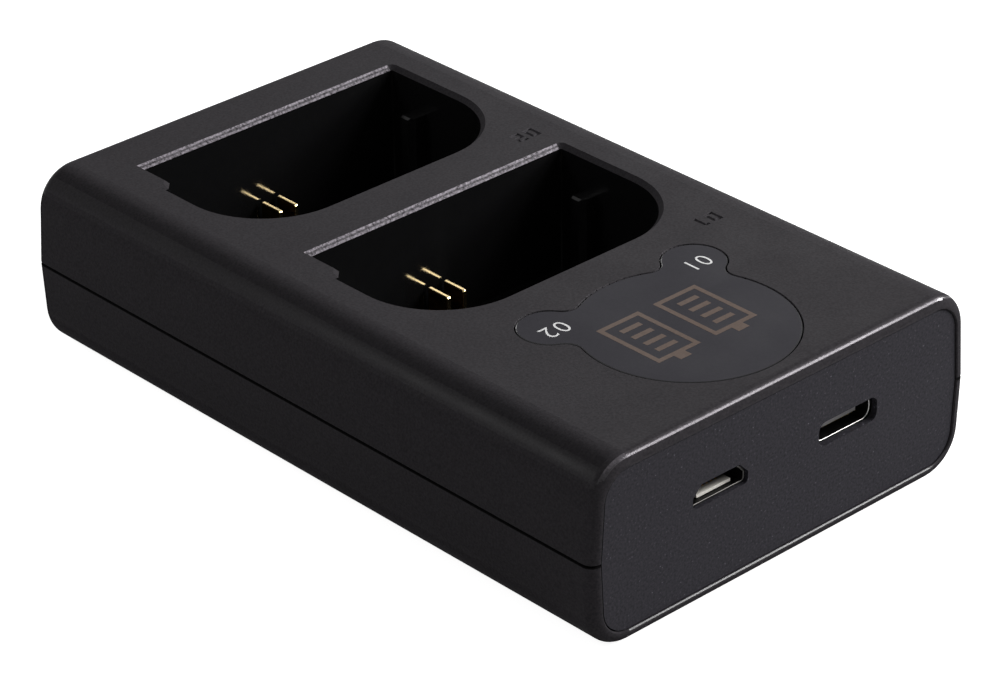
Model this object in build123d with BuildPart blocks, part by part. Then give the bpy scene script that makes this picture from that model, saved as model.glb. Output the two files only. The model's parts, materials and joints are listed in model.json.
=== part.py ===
import os
from math import radians, tan

from build123d import *

# Two-well camera battery charger, in millimetres.
# +Z is up, the inlets face -Y, and the origin is the middle of the underside.

# Case
BODY_LENGTH = 92.2
BODY_WIDTH = 57.2
BODY_HEIGHT = 22.6
PARTING_HEIGHT = 11.15
TOP_EDGE_RADIUS = 4.9
BOTTOM_EDGE_RADIUS = 5.2
END_EDGE_RADIUS = 1.35
UPPER_LEAN_DEGREES = 3.9
LOWER_LEAN_DEGREES = 3.1
WALL = 2.0
SHADOW_GAP = 0.2
SHADOW_DEPTH = 1.0
LIP_HEIGHT = 1.2
LIP_CLEARANCE = 0.1
GROOVE_CHAMFER = 0.1

# End panel
PANEL_RIM = 1.5
RIM_CHAMFER = 0.12
PANEL_RECESS = 0.2
PANEL_THICKNESS = 0.8
PANEL_CLEARANCE = 0.05

# Battery wells
DECK_LENGTH = 33.05
WELL_SIDE_MARGIN = 8.775
WELL_SHIFT = 0.225
WELL_FRONT_RADIUS = 10.3
WELL_BACK_RADIUS = 0.25
WELL_BRIDGE = 7.4
WELL_REAR_MARGIN = 7.65
WELL_WALL = 1.5
WELL_FLOOR = 1.4
MOUTH_CHAMFER = 0.55
KEY_PROJECTION = 1.5
KEY_LENGTH = 5.75
KEY_CHAMFER = 1.0
RIB_PROJECTION = 2.4
RIB_LENGTH = 1.9
RIB_TAPER = 0.7
RIB_SETBACK = 4.2
RIB_DROP = 4.35
RIB_CHAMFER = 0.25

# Numbers sunk into the top in front of the wells
NUMBER_HEIGHT = 2.0
NUMBER_STROKE = 0.42
DIGIT_WIDTH = 1.4
DIGIT_PITCH = 2.0
NUMBER_DEPTH = 0.25
NUMBER_INSET = 9.85
NUMBER_LEAD = 2.8

# Contact blades
BLADE_THICKNESS = 0.4
BLADE_LENGTH = 3.4
BLADE_HEIGHT = 5.35
BLADE_PITCH = 2.4
BLADE_SHIFT = 0.15
BLADE_SETBACK = 0.35
BLADE_CHAMFER = 0.2
BLADE_TAIL_LENGTH = 1.6
TAIL_REACH = 0.8
SLOT_CLEARANCE = 0.1

# Display window and the light box under it
WINDOW_RADIUS = 12.25
WINDOW_SETBACK = 14.8
WINDOW_THICKNESS = 1.2
WINDOW_CLEARANCE = 0.15
LOBE_RADIUS = 3.7
LOBE_SPREAD = 10.9
LOBE_RISE = 9.7
LOBE_BLEND_RADIUS = 2.0
BAR_WIDTH = 2.9
BAR_LENGTH = 1.1
BAR_PITCH = 1.75
BARS_PER_CELL = 4
CELL_PITCH = 8.55
CELL_SHIFT = -0.55
CELL_RISE = 1.0
LIGHT_BOX_WIDTH = 15.6
LIGHT_BOX_LENGTH = 11.4
LIGHT_BOX_CLEARANCE = 0.2
LED_WIDTH = 1.6
LED_LENGTH = 0.8
LED_HEIGHT = 0.6

# Inlets
PORT_DROP = 9.78
PORT_CLEARANCE = 0.05
USB_C_OFFSET = 9.75
USB_C_HOLE_WIDTH = 9.1
USB_C_HOLE_HEIGHT = 2.95
USB_C_HOLE_RADIUS = 1.0
USB_C_WIDTH = 8.94
USB_C_HEIGHT = 3.16
USB_C_RADIUS = 1.4
USB_C_DEPTH = 6.5
USB_C_SHELL_WALL = 0.3
USB_C_BLOCK = 1.8
USB_C_TONGUE_WIDTH = 6.69
USB_C_TONGUE_THICKNESS = 0.7
USB_C_TONGUE_SETBACK = 0.75
USB_C_TONGUE_CHAMFER = 0.5
USB_C_CONTACT_PITCH = 0.5
USB_C_CONTACT_COUNT = 12
MICRO_OFFSET = 9.7
MICRO_RISE = 0.33
MICRO_HOLE_WIDTH = 8.2
MICRO_HOLE_HEIGHT = 2.7
MICRO_HOLE_CHAMFER = 1.3
MICRO_HOLE_RADIUS = 0.6
MICRO_CLEARANCE = 0.05
MICRO_REACH = 0.35
MICRO_DEPTH = 5.2
MICRO_SHELL_WALL = 0.25
MICRO_BLOCK = 1.4
MICRO_TONGUE_WIDTH = 5.0
MICRO_TONGUE_THICKNESS = 0.35
MICRO_TONGUE_DROP = 0.77
MICRO_TONGUE_SETBACK = 0.6
MICRO_CONTACT_SETBACK = 0.9
MICRO_CONTACT_PITCH = 0.65
MICRO_CONTACT_COUNT = 5
PORT_FIT = 0.03
PORT_CONTACT_WIDTH = 0.28
PORT_CONTACT_LENGTH = 2.2
PORT_CONTACT_THICKNESS = 0.05

# Boards and what joins them
CONTROL_BOARD_THICKNESS = 1.6
CONTACT_BOARD_THICKNESS = 1.2
CONTACT_BOARD_WIDTH = 24.0
BOARD_CLEARANCE = 0.5
BOARD_CORNER_CHAMFER = 1.0
TAIL_ROOM = 2.0
RAIL_WIDTH = 1.6
POST_SIZE = 4.0
POST_INSET = 9.0
PIN_SIZE = 0.64
PIN_PITCH = 2.54
PIN_COUNT = 4
PIN_REACH = 0.8
PIN_CLEARANCE = 0.05
HEADER_DEPTH = 2.5

# Charging parts on the control board
PART_GAP = 1.0
INDUCTOR_SIZE = 6.0
INDUCTOR_HEIGHT = 3.0
INDUCTOR_CHAMFER = 1.0
CAPACITOR_WIDTH = 2.5
CAPACITOR_LENGTH = 2.0
CAPACITOR_HEIGHT = 1.6
CAPACITOR_PITCH = 3.6
CAPACITORS_PER_SIDE = 3
CHIP_WIDTH = 3.9
CHIP_LENGTH = 4.9
CHIP_HEIGHT = 1.5
CHIP_CHAMFER = 0.3
LEAD_PITCH = 1.27
LEADS_PER_SIDE = 4
LEAD_WIDTH = 0.42
LEAD_REACH = 1.05
LEAD_HEIGHT = 0.5
CONTROLLER_WIDTH = 6.5
CONTROLLER_LENGTH = 4.4
CONTROLLER_HEIGHT = 1.0
RESISTOR_WIDTH = 6.3
RESISTOR_LENGTH = 3.2
RESISTOR_HEIGHT = 0.6

# Case screws
SCREW_DIAMETER = 2.2
SCREW_LENGTH = 13.0
SCREW_HEAD_DIAMETER = 3.8
SCREW_HEAD_HEIGHT = 1.5
SCREW_CLEARANCE = 0.1
SCREW_END_ROOM = 0.6
SCREW_INSET = 8.8
FRONT_SCREW_SETBACK = 7.5
COUNTERBORE_DEPTH = 2.8
COUNTERBORE_CLEARANCE = 0.2
BOSS_WALL = 1.0
UPPER_BOSS_DIAMETER = 5.0

# Worked out from the sizes above
HALF_LENGTH = BODY_LENGTH / 2
HALF_WIDTH = BODY_WIDTH / 2
TOP_HALF_WIDTH = HALF_WIDTH - (BODY_HEIGHT - PARTING_HEIGHT) * tan(radians(UPPER_LEAN_DEGREES))
BASE_HALF_WIDTH = HALF_WIDTH - PARTING_HEIGHT * tan(radians(LOWER_LEAN_DEGREES))
UPPER_BASE = PARTING_HEIGHT + SHADOW_GAP / 2
LOWER_TOP = PARTING_HEIGHT - SHADOW_GAP / 2
LIP_TOP = UPPER_BASE + LIP_HEIGHT
PANEL_POCKET = PANEL_RECESS + PANEL_THICKNESS
PANEL_BACK = HALF_LENGTH - PANEL_POCKET
WALL_MIDDLE = BODY_HEIGHT - WALL / 2

CONTACT_BOARD_BASE = WALL + TAIL_ROOM
CONTACT_BOARD_TOP = CONTACT_BOARD_BASE + CONTACT_BOARD_THICKNESS
WELL_FLOOR_TOP = CONTACT_BOARD_TOP + WELL_FLOOR
WELL_DEPTH = BODY_HEIGHT - WELL_FLOOR_TOP

WELL_WIDTH = BODY_WIDTH - 2 * WELL_SIDE_MARGIN
WELL_SPAN = (BODY_LENGTH - DECK_LENGTH - WELL_BRIDGE - WELL_REAR_MARGIN) / 2
WELL_PITCH = WELL_SPAN + WELL_BRIDGE
FAR_WELL_BACK = HALF_LENGTH - WELL_REAR_MARGIN
NEAR_WELL_BACK = FAR_WELL_BACK - WELL_PITCH
WELL_BACKS = (NEAR_WELL_BACK, FAR_WELL_BACK)
WELL_CENTRES = [(WELL_SHIFT, back - WELL_SPAN / 2) for back in WELL_BACKS]
RIB_TIP = WELL_SHIFT + WELL_WIDTH / 2 - RIB_PROJECTION
TUB_FRONT = NEAR_WELL_BACK - WELL_SPAN - WELL_WALL

DIGIT_SHIFT = DIGIT_PITCH / 2
STROKE_X = (DIGIT_WIDTH - NUMBER_STROKE) / 2
STROKE_Y = (NUMBER_HEIGHT - NUMBER_STROKE) / 2
NUMBER_X = HALF_WIDTH - NUMBER_INSET
NUMBER_YS = [back - WELL_SPAN - NUMBER_LEAD for back in WELL_BACKS]

BLADE_OFFSETS = (BLADE_SHIFT - BLADE_PITCH / 2, BLADE_SHIFT + BLADE_PITCH / 2)
BLADE_CENTRE_SETBACK = BLADE_SETBACK + BLADE_LENGTH / 2
BLADE_CENTRES = [(x, back - BLADE_CENTRE_SETBACK) for back in WELL_BACKS for x in BLADE_OFFSETS]
BLADE_TOP = WELL_FLOOR_TOP + BLADE_HEIGHT
BLADE_FOOT = CONTACT_BOARD_BASE - TAIL_REACH

WINDOW_Y = WINDOW_SETBACK - HALF_LENGTH
WINDOW_BASE = BODY_HEIGHT - WINDOW_THICKNESS
CELLS_CENTRE = (CELL_SHIFT, WINDOW_Y + CELL_RISE)

USB_C_MOUTH = PANEL_BACK - PORT_CLEARANCE
MICRO_MOUTH = PANEL_BACK + MICRO_REACH
USB_C_AXIS = (USB_C_OFFSET, BODY_HEIGHT - PORT_DROP)
MICRO_AXIS = (-MICRO_OFFSET, BODY_HEIGHT - PORT_DROP + MICRO_RISE)
CONTROL_BOARD_TOP = BODY_HEIGHT - PORT_DROP - USB_C_HEIGHT / 2
CONTROL_BOARD_BASE = CONTROL_BOARD_TOP - CONTROL_BOARD_THICKNESS
CONTROL_BOARD_FRONT = BOARD_CLEARANCE - PANEL_BACK
CONTROL_BOARD_REAR = TUB_FRONT - BOARD_CLEARANCE
CONTROL_BOARD_LENGTH = CONTROL_BOARD_REAR - CONTROL_BOARD_FRONT
CONTROL_BOARD_MIDDLE = (CONTROL_BOARD_FRONT + CONTROL_BOARD_REAR) / 2
CONTROL_BOARD_WIDTH = 2 * (HALF_WIDTH - WALL - BOARD_CLEARANCE)

HEADER_Y = CONTROL_BOARD_REAR - BOARD_CLEARANCE - HEADER_DEPTH / 2
CONTACT_BOARD_FRONT = HEADER_Y - HEADER_DEPTH / 2 - BOARD_CLEARANCE
CONTACT_BOARD_REAR = FAR_WELL_BACK + WELL_WALL
CONTACT_BOARD_LENGTH = CONTACT_BOARD_REAR - CONTACT_BOARD_FRONT
CONTACT_BOARD_MIDDLE = (CONTACT_BOARD_FRONT + CONTACT_BOARD_REAR) / 2

SCREW_X = HALF_WIDTH - SCREW_INSET
FRONT_SCREW_Y = FRONT_SCREW_SETBACK - HALF_LENGTH
REAR_SCREW_Y = HALF_LENGTH - WALL - LIP_CLEARANCE - UPPER_BOSS_DIAMETER / 2
FRONT_SCREWS = [(-SCREW_X, FRONT_SCREW_Y), (SCREW_X, FRONT_SCREW_Y)]
REAR_SCREWS = [(-SCREW_X, REAR_SCREW_Y), (SCREW_X, REAR_SCREW_Y)]
ALL_SCREWS = FRONT_SCREWS + REAR_SCREWS
SCREW_HOLE_RADIUS = SCREW_DIAMETER / 2 + SCREW_CLEARANCE
COUNTERBORE_RADIUS = SCREW_HEAD_DIAMETER / 2 + COUNTERBORE_CLEARANCE
LOWER_BOSS_RADIUS = COUNTERBORE_RADIUS + BOSS_WALL
SCREW_TIP = COUNTERBORE_DEPTH + SCREW_LENGTH

INDUCTOR_X = LIGHT_BOX_WIDTH / 2 + CAPACITOR_WIDTH + INDUCTOR_SIZE / 2 + 2 * PART_GAP
CAPACITOR_X = LIGHT_BOX_WIDTH / 2 + PART_GAP + CAPACITOR_WIDTH / 2
CHIP_Y = WINDOW_Y + INDUCTOR_SIZE / 2 + PART_GAP + CHIP_LENGTH / 2
CONTROLLER_Y = HEADER_Y - HEADER_DEPTH / 2 - PART_GAP - CONTROLLER_LENGTH / 2
RESISTOR_Y = CHIP_Y + CHIP_LENGTH / 2 + PART_GAP + RESISTOR_LENGTH / 2

os.makedirs("parts", exist_ok=True)


# Cross-section of the closed case, drawn in from the outside by an inset
def end_profile(inset):
    with BuildSketch(mode=Mode.PRIVATE) as section:
        with BuildLine():
            Polyline(
                (-HALF_WIDTH, PARTING_HEIGHT),
                (-TOP_HALF_WIDTH, BODY_HEIGHT),
                (TOP_HALF_WIDTH, BODY_HEIGHT),
                (HALF_WIDTH, PARTING_HEIGHT),
                (BASE_HALF_WIDTH, 0),
                (-BASE_HALF_WIDTH, 0),
                close=True,
            )
        make_face()
        fillet(section.vertices().group_by(Axis.Y)[-1], TOP_EDGE_RADIUS)
        fillet(section.vertices().group_by(Axis.Y)[0], BOTTOM_EDGE_RADIUS)
        if inset:
            offset(amount=-inset)
    return section.sketch


# Well seen from above: square at the back, broadly rounded at the front
def well_outline(growth, keyed):
    with BuildSketch(mode=Mode.PRIVATE) as outline:
        Rectangle(WELL_WIDTH, WELL_SPAN)
        fillet(outline.vertices().group_by(Axis.Y)[0], WELL_FRONT_RADIUS)
        fillet(outline.vertices().group_by(Axis.Y)[-1], WELL_BACK_RADIUS)
        if growth:
            offset(amount=growth)
        if keyed:
            with BuildSketch(mode=Mode.SUBTRACT) as key:
                with Locations((-WELL_WIDTH / 2, WELL_SPAN / 2)):
                    Rectangle(KEY_PROJECTION, KEY_LENGTH, align=(Align.MIN, Align.MAX))
                chamfer(key.vertices().group_by(Axis.Y)[0].sort_by(Axis.X)[-1], KEY_CHAMFER)
    return outline.sketch


# Round window with two lobes towards the wells, let out by a growth all round
def window_outline(growth):
    with BuildSketch(mode=Mode.PRIVATE) as outline:
        Circle(WINDOW_RADIUS + growth)
        with Locations((-LOBE_SPREAD, LOBE_RISE), (LOBE_SPREAD, LOBE_RISE)):
            Circle(LOBE_RADIUS + growth)
        crossings = outline.vertices().filter_by(lambda v: is_crossing(v, growth))
        fillet(crossings, LOBE_BLEND_RADIUS - growth)
    return outline.sketch


# Whether a corner of the window outline lies on the disc and on a lobe
def is_crossing(corner, growth):
    off_disc = Vector(corner.X, corner.Y).length - WINDOW_RADIUS - growth
    off_lobe = Vector(abs(corner.X) - LOBE_SPREAD, corner.Y - LOBE_RISE).length - LOBE_RADIUS - growth
    return max(abs(off_disc), abs(off_lobe)) < WINDOW_CLEARANCE


# Locating lip that follows the side and rear walls
def lip_outline(clearance):
    outer_half_width = HALF_WIDTH - SHADOW_DEPTH + clearance
    outer_rear = HALF_LENGTH - SHADOW_DEPTH + clearance
    inner_half_width = HALF_WIDTH - WALL - 2 * clearance
    with BuildSketch(mode=Mode.PRIVATE) as outline:
        with Locations((0, -PANEL_BACK)):
            Rectangle(2 * outer_half_width, PANEL_BACK + outer_rear, align=(Align.CENTER, Align.MIN))
            Rectangle(
                2 * inner_half_width,
                PANEL_BACK + HALF_LENGTH - WALL,
                align=(Align.CENTER, Align.MIN),
                mode=Mode.SUBTRACT,
            )
    return outline.sketch


# Two digits in square strokes, each a centre and a size: a nought, and then the strokes given
def number_outline(second_digit):
    nought = [
        (-DIGIT_SHIFT - STROKE_X, 0, NUMBER_STROKE, NUMBER_HEIGHT),
        (-DIGIT_SHIFT + STROKE_X, 0, NUMBER_STROKE, NUMBER_HEIGHT),
        (-DIGIT_SHIFT, STROKE_Y, DIGIT_WIDTH, NUMBER_STROKE),
        (-DIGIT_SHIFT, -STROKE_Y, DIGIT_WIDTH, NUMBER_STROKE),
    ]
    with BuildSketch(mode=Mode.PRIVATE) as outline:
        for x, y, width, height in nought + second_digit:
            with Locations((x, y)):
                Rectangle(width, height)
    return outline.sketch


# Front view of the left inlet: square below, with its upper corners cut off
def micro_outline(inset):
    with BuildSketch(mode=Mode.PRIVATE) as outline:
        Rectangle(MICRO_HOLE_WIDTH, MICRO_HOLE_HEIGHT)
        chamfer(outline.vertices().group_by(Axis.Y)[-1], MICRO_HOLE_CHAMFER)
        fillet(outline.vertices().group_by(Axis.Y)[0], MICRO_HOLE_RADIUS)
        if inset:
            offset(amount=-inset, kind=Kind.INTERSECTION)
    return outline.sketch


outer_profile = end_profile(0)
rebate_profile = end_profile(PANEL_RIM)
rim_profile = end_profile(PANEL_RIM - RIM_CHAMFER)
panel_profile = end_profile(PANEL_RIM + PANEL_CLEARANCE)
cavity_profile = end_profile(WALL)
pocket_outline = well_outline(0, True)
tub_outline = well_outline(WELL_WALL, False)
recess_outline = window_outline(WINDOW_CLEARANCE)
pane_outline = window_outline(0)
number_one = number_outline(
    [
        (DIGIT_SHIFT, 0, NUMBER_STROKE, NUMBER_HEIGHT),
        (DIGIT_SHIFT - NUMBER_STROKE, STROKE_Y, NUMBER_STROKE, NUMBER_STROKE),
    ]
)
number_two = number_outline(
    [
        (DIGIT_SHIFT, STROKE_Y, DIGIT_WIDTH, NUMBER_STROKE),
        (DIGIT_SHIFT, 0, DIGIT_WIDTH, NUMBER_STROKE),
        (DIGIT_SHIFT, -STROKE_Y, DIGIT_WIDTH, NUMBER_STROKE),
        (DIGIT_SHIFT + STROKE_X, STROKE_Y / 2, NUMBER_STROKE, STROKE_Y),
        (DIGIT_SHIFT - STROKE_X, -STROKE_Y / 2, NUMBER_STROKE, STROKE_Y),
    ]
)
lip_ring = lip_outline(0)
lip_rebate = lip_outline(LIP_CLEARANCE)
micro_hole = micro_outline(0)
micro_outer = micro_outline(MICRO_CLEARANCE)
micro_inner = micro_outline(MICRO_CLEARANCE + MICRO_SHELL_WALL)
micro_plug = micro_outline(MICRO_CLEARANCE + MICRO_SHELL_WALL + PORT_FIT)

# Solid block of the closed case, which both halves are cut from
with BuildPart() as case_blank:
    with BuildSketch(Plane.XZ):
        add(outer_profile)
    extrude(amount=HALF_LENGTH, both=True)

# Upper half, with the wells hanging from its top
with BuildPart() as upper_shell:
    add(case_blank.part)
    split(bisect_by=Plane.XY.offset(UPPER_BASE), keep=Keep.TOP)
    end_edges = upper_shell.faces().filter_by(Axis.Y).edges()
    fillet(end_edges.filter_by_position(Axis.Z, PARTING_HEIGHT + SHADOW_GAP, BODY_HEIGHT), END_EDGE_RADIUS)
    chamfer(upper_shell.faces().sort_by(Axis.Z)[0].edges(), GROOVE_CHAMFER)
    with BuildSketch(Plane.XZ.offset(HALF_LENGTH)):
        add(rebate_profile)
    extrude(amount=-PANEL_POCKET, mode=Mode.SUBTRACT)
    with BuildSketch(Plane.XZ.offset(HALF_LENGTH)):
        add(rim_profile)
    extrude(amount=-RIM_CHAMFER, taper=45, mode=Mode.SUBTRACT)
    with BuildSketch(Plane.XZ.offset(HALF_LENGTH)):
        add(cavity_profile)
    extrude(amount=WALL - BODY_LENGTH, mode=Mode.SUBTRACT)
    with BuildSketch(Plane.XY.offset(UPPER_BASE)):
        add(lip_rebate)
    extrude(amount=LIP_HEIGHT + LIP_CLEARANCE, mode=Mode.SUBTRACT)
    # Tubs, then the pockets in them and their chamfered mouths
    with BuildSketch(Plane.XY.offset(CONTACT_BOARD_TOP)):
        with Locations(*WELL_CENTRES):
            add(tub_outline)
    extrude(amount=WALL_MIDDLE - CONTACT_BOARD_TOP)
    with BuildSketch(Plane.XY.offset(BODY_HEIGHT)):
        with Locations(*WELL_CENTRES):
            add(pocket_outline)
    extrude(amount=-WELL_DEPTH, mode=Mode.SUBTRACT)
    mouths = upper_shell.faces().sort_by(Axis.Z)[-1].inner_wires()
    chamfer(mouths.edges(), MOUTH_CHAMFER)
    # Sunk numbers, which read from the far end
    with BuildSketch(Plane.XY.offset(BODY_HEIGHT)):
        with Locations(Location((NUMBER_X, NUMBER_YS[0]), 180)):
            add(number_one)
        with Locations(Location((NUMBER_X, NUMBER_YS[1]), 180)):
            add(number_two)
    extrude(amount=-NUMBER_DEPTH, mode=Mode.SUBTRACT)
    # Guide rib on the right wall of each well, narrower at its tip
    with BuildSketch(Plane.XY.offset(WELL_FLOOR_TOP)) as ribs:
        with Locations(*[(RIB_TIP, back - RIB_SETBACK) for back in WELL_BACKS]):
            Rectangle(RIB_PROJECTION + WELL_WALL / 2, RIB_LENGTH, align=(Align.MIN, Align.MAX))
        chamfer([face.vertices().group_by(Axis.X)[0].sort_by(Axis.Y)[0] for face in ribs.faces()], RIB_TAPER)
    extrude(amount=WELL_DEPTH - RIB_DROP)
    rib_tops = upper_shell.faces().filter_by(Axis.Z).filter_by_position(
        Axis.Z, BODY_HEIGHT - RIB_DROP - RIB_CHAMFER, BODY_HEIGHT - RIB_DROP + RIB_CHAMFER
    )
    chamfer([face.edges().sort_by(Axis.X)[0] for face in rib_tops], RIB_CHAMFER)
    # Slots for the blades
    with BuildSketch(Plane.XY.offset(CONTACT_BOARD_TOP)):
        with Locations(*BLADE_CENTRES):
            Rectangle(BLADE_THICKNESS + 2 * SLOT_CLEARANCE, BLADE_LENGTH + 2 * SLOT_CLEARANCE)
    extrude(amount=WELL_FLOOR, mode=Mode.SUBTRACT)
    # Seat of the window, and the way through to the light box
    with BuildSketch(Plane.XY.offset(BODY_HEIGHT)):
        with Locations((0, WINDOW_Y)):
            add(recess_outline)
    extrude(amount=-WINDOW_THICKNESS, mode=Mode.SUBTRACT)
    with BuildSketch(Plane.XY.offset(BODY_HEIGHT)):
        with Locations(CELLS_CENTRE):
            Rectangle(
                LIGHT_BOX_WIDTH + 2 * LIGHT_BOX_CLEARANCE,
                LIGHT_BOX_LENGTH + 2 * LIGHT_BOX_CLEARANCE,
            )
    extrude(amount=-WALL - WINDOW_THICKNESS, mode=Mode.SUBTRACT)
    # Screw bosses: the front pair stands on the board, the rear pair on the lower half
    with BuildSketch(Plane.XY.offset(CONTROL_BOARD_TOP)):
        with Locations(*FRONT_SCREWS):
            Circle(UPPER_BOSS_DIAMETER / 2)
    extrude(amount=WALL_MIDDLE - CONTROL_BOARD_TOP)
    with BuildSketch(Plane.XY.offset(CONTACT_BOARD_TOP)):
        with Locations(*REAR_SCREWS):
            Circle(UPPER_BOSS_DIAMETER / 2)
    extrude(amount=WALL_MIDDLE - CONTACT_BOARD_TOP)
    with BuildSketch(Plane.XY.offset(CONTACT_BOARD_TOP)):
        with Locations(*ALL_SCREWS):
            Circle(SCREW_HOLE_RADIUS)
    extrude(amount=SCREW_TIP + SCREW_END_ROOM - CONTACT_BOARD_TOP, mode=Mode.SUBTRACT)
upper_shell.part.label = "upper_shell"
export_step(upper_shell.part, "parts/upper_shell.step")

# Lower half: a tray with a locating lip, bosses, posts and board rails
with BuildPart() as lower_shell:
    add(case_blank.part)
    split(bisect_by=Plane.XY.offset(LOWER_TOP), keep=Keep.BOTTOM)
    end_edges = lower_shell.faces().filter_by(Axis.Y).edges()
    fillet(end_edges.filter_by_position(Axis.Z, 0, PARTING_HEIGHT - SHADOW_GAP), END_EDGE_RADIUS)
    chamfer(lower_shell.faces().sort_by(Axis.Z)[-1].edges(), GROOVE_CHAMFER)
    with BuildSketch(Plane.XZ.offset(HALF_LENGTH)):
        add(rebate_profile)
    extrude(amount=-PANEL_POCKET, mode=Mode.SUBTRACT)
    with BuildSketch(Plane.XZ.offset(HALF_LENGTH)):
        add(rim_profile)
    extrude(amount=-RIM_CHAMFER, taper=45, mode=Mode.SUBTRACT)
    with BuildSketch(Plane.XZ.offset(HALF_LENGTH)):
        add(cavity_profile)
    extrude(amount=WALL - BODY_LENGTH, mode=Mode.SUBTRACT)
    with BuildSketch(Plane.XY.offset(LOWER_TOP)):
        add(lip_ring)
    extrude(amount=LIP_TOP - LOWER_TOP)
    with BuildSketch(Plane.XY.offset(WALL / 2)):
        with Locations(*FRONT_SCREWS):
            Circle(LOWER_BOSS_RADIUS)
    extrude(amount=CONTROL_BOARD_BASE - WALL / 2)
    with BuildSketch(Plane.XY.offset(WALL / 2)):
        with Locations(*REAR_SCREWS):
            Circle(LOWER_BOSS_RADIUS)
    extrude(amount=CONTACT_BOARD_TOP - WALL / 2)
    with BuildSketch(Plane.XY.offset(WALL / 2)):
        with Locations((0, CONTROL_BOARD_REAR - POST_SIZE / 2)):
            with GridLocations(2 * (HALF_WIDTH - POST_INSET), 0, 2, 1):
                Rectangle(POST_SIZE, POST_SIZE)
    extrude(amount=CONTROL_BOARD_BASE - WALL / 2)
    with BuildSketch(Plane.XY.offset(WALL / 2)):
        with Locations((0, CONTACT_BOARD_MIDDLE)):
            with GridLocations(CONTACT_BOARD_WIDTH - RAIL_WIDTH, 0, 2, 1):
                Rectangle(RAIL_WIDTH, CONTACT_BOARD_LENGTH)
    extrude(amount=CONTACT_BOARD_BASE - WALL / 2)
    with Locations(*[Location((x, y, 0), (180, 0, 0)) for x, y in ALL_SCREWS]):
        CounterBoreHole(SCREW_HOLE_RADIUS, COUNTERBORE_RADIUS, COUNTERBORE_DEPTH)
lower_shell.part.label = "lower_shell"
export_step(lower_shell.part, "parts/lower_shell.step")

# Plate let into the front end, with a hole for each inlet
with BuildPart() as end_panel:
    with BuildSketch(Plane.XZ.offset(PANEL_BACK)):
        add(panel_profile)
        with Locations(USB_C_AXIS):
            RectangleRounded(USB_C_HOLE_WIDTH, USB_C_HOLE_HEIGHT, USB_C_HOLE_RADIUS, mode=Mode.SUBTRACT)
        with Locations(MICRO_AXIS):
            add(micro_hole, mode=Mode.SUBTRACT)
    extrude(amount=PANEL_THICKNESS)
end_panel.part.label = "end_panel"
export_step(end_panel.part, "parts/end_panel.step")

# Smoked window, flush with the top
with BuildPart() as display_window:
    with BuildSketch(Plane.XY.offset(WINDOW_BASE)):
        with Locations((0, WINDOW_Y)):
            add(pane_outline)
    extrude(amount=WINDOW_THICKNESS)
display_window.part.label = "display_window"
export_step(display_window.part, "parts/display_window.step")

# Light box: one cell for each bar of the two level icons
with BuildPart() as light_box:
    with BuildSketch(Plane.XY.offset(CONTROL_BOARD_TOP)):
        with Locations(CELLS_CENTRE):
            Rectangle(LIGHT_BOX_WIDTH, LIGHT_BOX_LENGTH)
            with GridLocations(CELL_PITCH, BAR_PITCH, 2, BARS_PER_CELL):
                Rectangle(BAR_WIDTH, BAR_LENGTH, mode=Mode.SUBTRACT)
    extrude(amount=WINDOW_BASE - CONTROL_BOARD_TOP)
light_box.part.label = "light_box"
export_step(light_box.part, "parts/light_box.step")

# One lamp on the board at the foot of each cell
with BuildPart() as indicator_leds:
    with BuildSketch(Plane.XY.offset(CONTROL_BOARD_TOP)):
        with Locations(CELLS_CENTRE):
            with GridLocations(CELL_PITCH, BAR_PITCH, 2, BARS_PER_CELL):
                Rectangle(LED_WIDTH, LED_LENGTH)
    extrude(amount=LED_HEIGHT)
indicator_leds.part.label = "indicator_leds"
export_step(indicator_leds.part, "parts/indicator_leds.step")

# Control board behind the panel
with BuildPart() as control_board:
    with BuildSketch(Plane.XY.offset(CONTROL_BOARD_BASE)) as outline:
        with Locations((0, CONTROL_BOARD_MIDDLE)):
            Rectangle(CONTROL_BOARD_WIDTH, CONTROL_BOARD_LENGTH)
        chamfer(outline.vertices(), BOARD_CORNER_CHAMFER)
        with Locations(*FRONT_SCREWS):
            Circle(SCREW_HOLE_RADIUS, mode=Mode.SUBTRACT)
        with Locations((0, HEADER_Y)):
            with GridLocations(PIN_PITCH, 0, PIN_COUNT, 1):
                Rectangle(PIN_SIZE + 2 * PIN_CLEARANCE, PIN_SIZE + 2 * PIN_CLEARANCE, mode=Mode.SUBTRACT)
    extrude(amount=CONTROL_BOARD_THICKNESS)
control_board.part.label = "control_board"
export_step(control_board.part, "parts/control_board.step")

# Contact board under both wells
with BuildPart() as contact_board:
    with BuildSketch(Plane.XY.offset(CONTACT_BOARD_BASE)) as outline:
        with Locations((0, CONTACT_BOARD_MIDDLE)):
            Rectangle(CONTACT_BOARD_WIDTH, CONTACT_BOARD_LENGTH)
        chamfer(outline.vertices(), BOARD_CORNER_CHAMFER)
        with Locations(*BLADE_CENTRES):
            Rectangle(
                BLADE_THICKNESS + 2 * SLOT_CLEARANCE,
                BLADE_TAIL_LENGTH + 2 * SLOT_CLEARANCE,
                mode=Mode.SUBTRACT,
            )
        with Locations((0, HEADER_Y)):
            with GridLocations(PIN_PITCH, 0, PIN_COUNT, 1):
                Rectangle(PIN_SIZE + 2 * PIN_CLEARANCE, PIN_SIZE + 2 * PIN_CLEARANCE, mode=Mode.SUBTRACT)
    extrude(amount=CONTACT_BOARD_THICKNESS)
contact_board.part.label = "contact_board"
export_step(contact_board.part, "parts/contact_board.step")

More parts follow.
